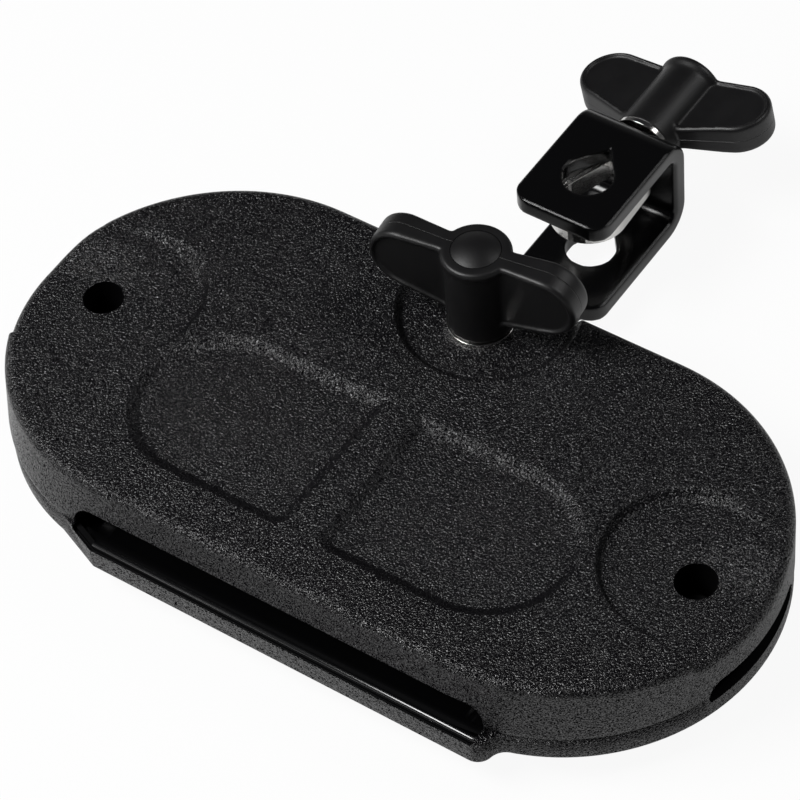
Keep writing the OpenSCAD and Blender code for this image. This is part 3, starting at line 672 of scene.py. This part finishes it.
def slotCutters():
    left, right, top, corner = (frontSlot[key] for key in ("left", "right", "top", "corner"))
    outline = [(left, frontSlot["bottom"]), (right, frontSlot["bottom"])]
    outline += arc((right - corner, top - corner), corner, 0, 90, frontSlot["cornerSteps"])
    outline += arc((left + corner, top - corner), corner, 90, 180, frontSlot["cornerSteps"])
    cutters = [toObject("frontSlotCut", prism(outline, frontSlot["inner"], frontSlot["outer"], upright))]
    reach, half, middle, steps = (endSlot[key] for key in ("reach", "half", "middle", "halfSteps"))
    outline = arc((reach, middle), half, -90, 90, steps) + arc((-reach, middle), half, 90, 270, steps)
    for side in (1, -1):
        turned = Matrix.Rotation(0 if side > 0 else math.pi, 4, "Z") @ towardsEnd
        cutters.append(toObject("endSlotCut", prism(outline, endSlot["inner"], endSlot["outer"], turned)))
    return cutters


# how far a face's centre may lie past a limit and still count as inside it
faceMargin = {"side": 0.2, "height": 0.1, "wall": 0.05, "lip": 0.01, "top": 0.001}


def inEndSlot(centre):
    across = abs(centre.x) > endSlot["facesFrom"] and abs(centre.y) < endSlot["reach"] + faceMargin["side"]
    level = abs(centre.z - endSlot["middle"]) < endSlot["half"] + faceMargin["height"]
    return across and level and fromSpine(centre) < endSlot["skin"]


def insideTop(centre):
    # material of a face: 0 grained, 1 smooth, whose darker colour is painted shade in the chamber and the end slots
    walled = fromSpine(centre) < shell["innerRadius"] + faceMargin["wall"]
    inChamber = walled and centre.z < shell["plate"] + faceMargin["height"]
    return 1 if inChamber or inEndSlot(centre) else 0


def buildTopShell(shape):
    piece = toObject("topShell", outerSkin(shape))
    under = shape["seam"] - overrun
    chamber = toObject("chamber", prism(stadium(shape["innerRadius"]), under, shape["plate"]))
    postEnds = (under - overrun, shape["plate"] + overrun)
    posts = [toObject("boss", prism(disc(shape["bolt"], shape["bossRadius"]), *postEnds))]
    for x in (shape["wellX"], -shape["wellX"]):
        posts.append(toObject("tube", prism(disc((x, 0), shape["tubeRadius"]), *postEnds)))
    combine(chamber, posts, "DIFFERENCE")
    holes = [toObject("boltHole", prism(disc(shape["bolt"], shape["boltHole"]), under, overrun))]
    for x in (shape["wellX"], -shape["wellX"]):
        well = disc((x, 0), shape["wellRadius"], shape["wellSteps"])
        holes.append(toObject("well", prism(well, shape["wellDepth"], overrun)))
        holes.append(toObject("webHole", prism(disc((x, 0), shape["webHole"]), under, shape["wellDepth"] + overrun)))
    combine(piece, [chamber] + slotCutters() + holes, "DIFFERENCE")
    finishPiece(piece, blockPlace, [grained] + smooth, "block", "top_shell",
                shape["sharpAngle"], insideTop)


buildTopShell(shell)

# front lip: behind its groove stands a rounded bead that curls up at the slot's right end
lip = {
    "full": (-45.0, -53.6),
    "slant": 21.81,
    "round": (55.315, -49.6),
    "roundRadius": 4.0,
    "beadInset": 1.95,
    "beadStart": -45.2,
    "beadRadius": 0.75,
    "beadHeight": -14.95,
    "beadEndHeight": -14.7,
    "beadEndAngle": -20,
    "beadRiseFrom": 7,
    "roundSteps": 14,
    "hollowSteps": 12,
    "land": 0.35,
    "grooveEnd": 1.15,
    "grooveBottom": -15.9,
    "grooveTop": -14.5,
    "wall": 2.4,
    "wallBottom": -20.0,
    "top": -15.0,
    "outerRadius": 49.86,
    "outerInset": 0.12,
    "roughRadius": 49.98,
    "roughInset": 0.02,
    "ringInner": 47.6,
    "ringTop": -16.5,
    "tongueMouth": (26.0, 38.0, 58.0),
    "hollow": (63.145, -51.239),
    "leftEnd": -60.0,
    "rightTuck": 6.0,
    "backTuck": 8.0,
    "bottom": -21.0,
    "bottomEdge": 0.5,
    "edgeSegments": 5,
    "formTop": -11.0,
    "chamberRadius": 45.9,
    "facesAbove": -20.0,
    "facesWiden": 1.0,
    "wallBack": -45.0,
    "sharpAngle": 35,
}


def beadPath(shape):
    # straight along the front, then round the right end, where it rises
    inset, steps = shape["beadInset"], shape["roundSteps"]
    points = [(shape["beadStart"], shape["full"][1] + inset)]
    points += arc(shape["round"], shape["roundRadius"] - inset, -90, shape["beadEndAngle"], steps)
    rise = (shape["beadEndHeight"] - shape["beadHeight"]) / (steps + 1 - shape["beadRiseFrom"])
    return [(x, y, shape["beadHeight"] + rise * max(0, index - shape["beadRiseFrom"]))
            for index, (x, y) in enumerate(points)]


def insideLip(x, y):
    # distance from the lip's outer face, inwards
    slant = math.radians(lip["slant"])
    right, front = lip["round"]
    away = [y - lip["full"][1], (x - lip["full"][0]) * math.sin(slant) + (y - lip["full"][1]) * math.cos(slant)]
    if x > right:
        away.append(lip["roundRadius"] - math.hypot(x - right, y - front))
    return min(away)


def insideBottom(centre):
    # material of a face: 0 grained, 1 smooth, whose darker colour is painted shade in the chamber, the end slots and
    # the groove, 2 polished bead
    if inEndSlot(centre) or (fromSpine(centre) < lip["chamberRadius"] and centre.z > lip["facesAbove"]):
        return 1
    widen = lip["facesWiden"]
    overSlot = frontSlot["left"] - widen < centre.x < frontSlot["right"] + widen
    behindLand = insideLip(centre.x, centre.y) > lip["land"] + faceMargin["lip"]
    # the groove walls and the lip's inner side take the darker smooth plastic as painted shade
    if overSlot and behindLand and centre.y < lip["wallBack"]:
        onTop = centre.z > lip["top"] - faceMargin["top"]
        return 2 if onTop and centre.x > lip["beadStart"] else 1
    return 0


def lipOutline(shape, inset):
    # plan of the lip with its slanted left end, its round right end and the hollow beside it
    slant = math.radians(shape["slant"])
    radius = shape["roundRadius"]
    (rightX, rightY), (hollowX, hollowY) = shape["round"], shape["hollow"]
    join = math.degrees(math.atan2(hollowY - rightY, hollowX - rightX))
    meets = math.degrees(math.atan2(-hollowY, shell["straight"] - hollowX))
    fullX = shape["full"][0] + inset / math.sin(slant) - inset / math.tan(slant)
    fullY = shape["full"][1] + inset
    outline = [(shape["leftEnd"], fullY + (fullX - shape["leftEnd"]) * math.tan(slant)), (fullX, fullY)]
    outline += arc((rightX, rightY), radius - inset, -90, join, shape["roundSteps"])
    outline += arc((hollowX, hollowY), radius + inset, join + 180, meets, shape["hollowSteps"])
    return outline + [(hollowX - shape["rightTuck"], -shell["innerRadius"]),
                      (shape["leftEnd"], shape["backTuck"] - shell["innerRadius"])]


def lowerForm(name, shape, outline):
    # upright prism with its lower edges rounded, to which the lower shell is trimmed
    bm = prism(outline, shape["bottom"], shape["formTop"])
    rims = [side for side in bm.edges if all(vert.co.z < shape["formTop"] for vert in side.verts)]
    bmesh.ops.bevel(bm, geom=rims, offset=shape["bottomEdge"], offset_type="OFFSET",
                    segments=shape["edgeSegments"], profile=0.5, affect="EDGES", material=-1)
    return toObject(name, bm)


def boxBetween(name, low, high):
    # plain box between two corners, for cutting
    outline = [(low[0], low[1]), (high[0], low[1]), (high[0], high[1]), (low[0], high[1])]
    return toObject(name, prism(outline, low[2], high[2]))


def lipBand(shape, outerInset, innerInset, low, high):
    # upright band along the lip, between two insets and within the slot's ends
    band = toObject("lipBand", prism(lipOutline(shape, outerInset), low, high))
    under, over = low - overrun, high + overrun
    combine(band, [toObject("lipCore", prism(lipOutline(shape, innerInset), under, over))], "DIFFERENCE")
    span = boxBetween("slotSpan", (frontSlot["left"], -frontSlot["outer"], under),
                      (frontSlot["right"], shape["wallBack"], over))
    combine(band, [span], "INTERSECT")
    return band


def buildBottomShell(shape):
    piece = copyOfNode("bottomShell", "bottom_shell", blockPlace)
    # the rounded lower edge is made tighter all round, but for the mouth of the strap's seat
    ring = toObject("edgeRing", prism(stadium(shape["roughRadius"]), shape["bottom"], shape["ringTop"]))
    under, over = shape["bottom"] - overrun, shape["ringTop"] + overrun
    mouthX, mouthFront, mouthBack = shape["tongueMouth"]
    cuts = [toObject("ringCore", prism(stadium(shape["ringInner"]), under, over)),
            boxBetween("mouth", (-mouthX, mouthFront, under), (mouthX, mouthBack, over))]
    combine(ring, cuts, "DIFFERENCE")
    wall = lipBand(shape, shape["roughInset"], shape["wall"], shape["wallBottom"], shape["top"])
    combine(piece, [ring, wall], "UNION")
    groove = lipBand(shape, shape["land"], shape["grooveEnd"], shape["grooveBottom"], shape["grooveTop"])
    combine(piece, [groove], "DIFFERENCE")
    outer = lowerForm("outerForm", shape, stadium(shape["outerRadius"]))
    front = lowerForm("lipForm", shape, lipOutline(shape, shape["outerInset"]))
    combine(outer, [front], "UNION")
    combine(piece, [outer], "INTERSECT")
    combine(piece, [tube("bead", beadPath(shape), shape["beadRadius"])], "UNION")
    finishPiece(piece, blockPlace, [grained] + smooth, "block", "bottom_shell",
                shape["sharpAngle"], insideBottom)


buildBottomShell(lip)
print("shells ready")

# strap with the soft edges of thick powder coat
strapCopy = {"voxel": 0.36, "softFactor": 0.5, "softening": 5, "sharpAngle": 50}


def buildStrap(shape):
    piece = copyOfNode("strap", "bracket", Matrix())
    softenSkin(piece, shape)
    finishPiece(piece, Matrix(), [strapPaint], "clamp_bracket", "bracket",
                shape["sharpAngle"])


buildStrap(strapCopy)
print("strap ready")

# wing nuts

wingNut = {
    "hubProfile": [(0, 0), (7.1, 0), (7.6, 0.5), (7.6, 19.8), (7.7, 20.6), (8.0, 21.3), (8.25, 21.9),
                   (8.3, 22.5), (8.1, 23.1), (7.6, 23.45), (7.0, 23.5), (0, 23.5)],
    "boreProfile": [(0, -1), (5.6, -1), (5.6, 17.5), (4.05, 17.5), (4.05, 20.9), (5.8, 20.9), (5.8, 25), (0, 25)],
    "wingEnd": (17.5, 15.6),
    "wingRadius": 8.3,
    "wingFoot": 4.0,
    "wingTop": 23.1,
    "thickness": 8.0,
    "rootHalf": 3.3,
    "hubRadius": 7.6,
    "blend": 2.6,
    "edge": 1.15,
    "panelStep": 0.35,
    "panelDepth": 0.75,
    "sections": (6.3, 6.6, 6.9, 7.3, 7.8, 8.4, 10, 12, 14, 16, 17.5),
    "panelArea": 50,
    "endSegments": 72,
    "edgeSegments": 5,
    "voxel": 0.26,
    "softFactor": 0.5,
    "softening": 7,
    "turnSteps": 96,
    "sharpAngle": 40,
}


def wingHalfThickness(shape, x):
    # plan of a wing: wider at its end, with a hollow blend into the hub
    reach = shape["hubRadius"] + shape["blend"]
    hollowY = shape["rootHalf"] + shape["blend"]
    hollowX = math.sqrt(reach ** 2 - hollowY ** 2)
    hubSide = hollowX * shape["hubRadius"] / reach
    if x < hollowX:
        run = hollowX - max(x, hubSide)
        return hollowY - math.sqrt(shape["blend"] ** 2 - run ** 2)
    share = min(1, (x - hollowX) / (shape["wingEnd"][0] - hollowX))
    return shape["rootHalf"] + share * (shape["thickness"] / 2 - shape["rootHalf"])


def wingSolid(shape, side):
    bm = bmesh.new()
    endX, endZ = shape["wingEnd"]
    rootHeight = shape["wingTop"] - shape["wingFoot"]
    bmesh.ops.create_cone(bm, cap_ends=True, segments=shape["endSegments"], radius1=shape["wingRadius"],
                          radius2=shape["wingRadius"], depth=shape["thickness"],
                          matrix=Matrix.Translation((endX, 0, endZ)) @ Matrix.Rotation(math.pi / 2, 4, "X"))
    root = Matrix.Translation((shape["hubRadius"] / 2, 0, shape["wingFoot"] + rootHeight / 2))
    bmesh.ops.create_cube(bm, size=1, matrix=root @ Matrix.Diagonal(
        (shape["hubRadius"], shape["thickness"], rootHeight, 1)))
    hull = bmesh.ops.convex_hull(bm, input=bm.verts)
    spare = [item for item in hull["geom_interior"] + hull["geom_unused"] if isinstance(item, bmesh.types.BMVert)]
    bmesh.ops.delete(bm, geom=list(set(spare)), context="VERTS")
    bmesh.ops.dissolve_limit(bm, angle_limit=math.radians(1), verts=bm.verts, edges=bm.edges)
    sides = [face for face in bm.faces if abs(face.normal.y) > 0.99]
    rims = list({edge for face in sides for edge in face.edges})
    bmesh.ops.bevel(bm, geom=rims, offset=shape["edge"], offset_type="OFFSET", segments=shape["edgeSegments"],
                    profile=0.5, affect="EDGES", material=-1)
    sides = [face for face in bm.faces if abs(face.normal.y) > 0.999 and face.calc_area() > shape["panelArea"]]
    for face in sides:
        bmesh.ops.inset_region(bm, faces=[face], thickness=shape["panelStep"], depth=-shape["panelDepth"],
                               use_even_offset=True)
    for x in shape["sections"]:
        bmesh.ops.bisect_plane(bm, geom=bm.verts[:] + bm.edges[:] + bm.faces[:], plane_co=(x, 0, 0),
                               plane_no=(1, 0, 0))
    for vert in bm.verts:
        vert.co.y *= wingHalfThickness(shape, vert.co.x) * 2 / shape["thickness"]
    if side < 0:
        bmesh.ops.scale(bm, vec=(-1, 1, 1), verts=bm.verts)
    return bm


def buildWingNut(name, shape, place, material, body, replaced):
    piece = toObject(name, turnedSolid(shape["hubProfile"], shape["turnSteps"]))
    wings = [toObject(name + "Wing", wingSolid(shape, side)) for side in (1, -1)]
    combine(piece, wings, "UNION")
    softenSkin(piece, shape)
    combine(piece, [toObject(name + "Bore", turnedSolid(shape["boreProfile"], shape["turnSteps"]))], "DIFFERENCE")
    finishPiece(piece, place, [material], body, replaced, shape["sharpAngle"])


# domed cap in the hub's end: its plug goes up to the dome in one turned form
capShape = {"radius": 5.65, "plug": 2.6, "rise": 1.3, "seat": 23.5, "domeSteps": 14, "turnSteps": 96,
            "sharpAngle": 30}


def buildCap(name, shape, place, body, replaced):
    domeRadius = (shape["radius"] ** 2 + shape["rise"] ** 2) / (2 * shape["rise"])
    middle = shape["seat"] + shape["rise"] - domeRadius
    edgeAngle = math.degrees(math.asin(shape["radius"] / domeRadius))
    profile = [(0, shape["seat"] - shape["plug"]), (shape["radius"], shape["seat"] - shape["plug"])]
    profile += arc((0, middle), domeRadius, 90 - edgeAngle, 90, shape["domeSteps"])[:-1]
    profile += [(0, shape["seat"] + shape["rise"])]
    piece = toObject(name, turnedSolid(profile, shape["turnSteps"]))
    finishPiece(piece, place, [capPlastic], body, replaced, shape["sharpAngle"])


nutPlaces = {
    "block": Matrix.Translation((0, -0.0457, 0.0087)) @ Matrix.Rotation(math.radians(6.3), 4, "Z"),
    "clamp": (Matrix.Translation((0, 0.0238, 0.004)) @ Matrix.Rotation(math.radians(-90), 4, "X")
              @ Matrix.Rotation(math.radians(-10.3), 4, "Z")),
}
for which, body in (("block", "block_wing_nut"), ("clamp", "clamp_wing_nut")):
    place = nutPlaces[which]
    across = place.to_3x3() @ Vector((0, 1, 0))
    nutPlastic = satinPlastic(which + "NutPlastic", nutFinish, place.to_translation(), across)
    buildWingNut(which + "WingNut", wingNut, place, nutPlastic, body, which + "_nut_body")
    buildCap(which + "NutCap", capShape, place, body, which + "_nut_cap")
print("wing nuts ready")

print("done")
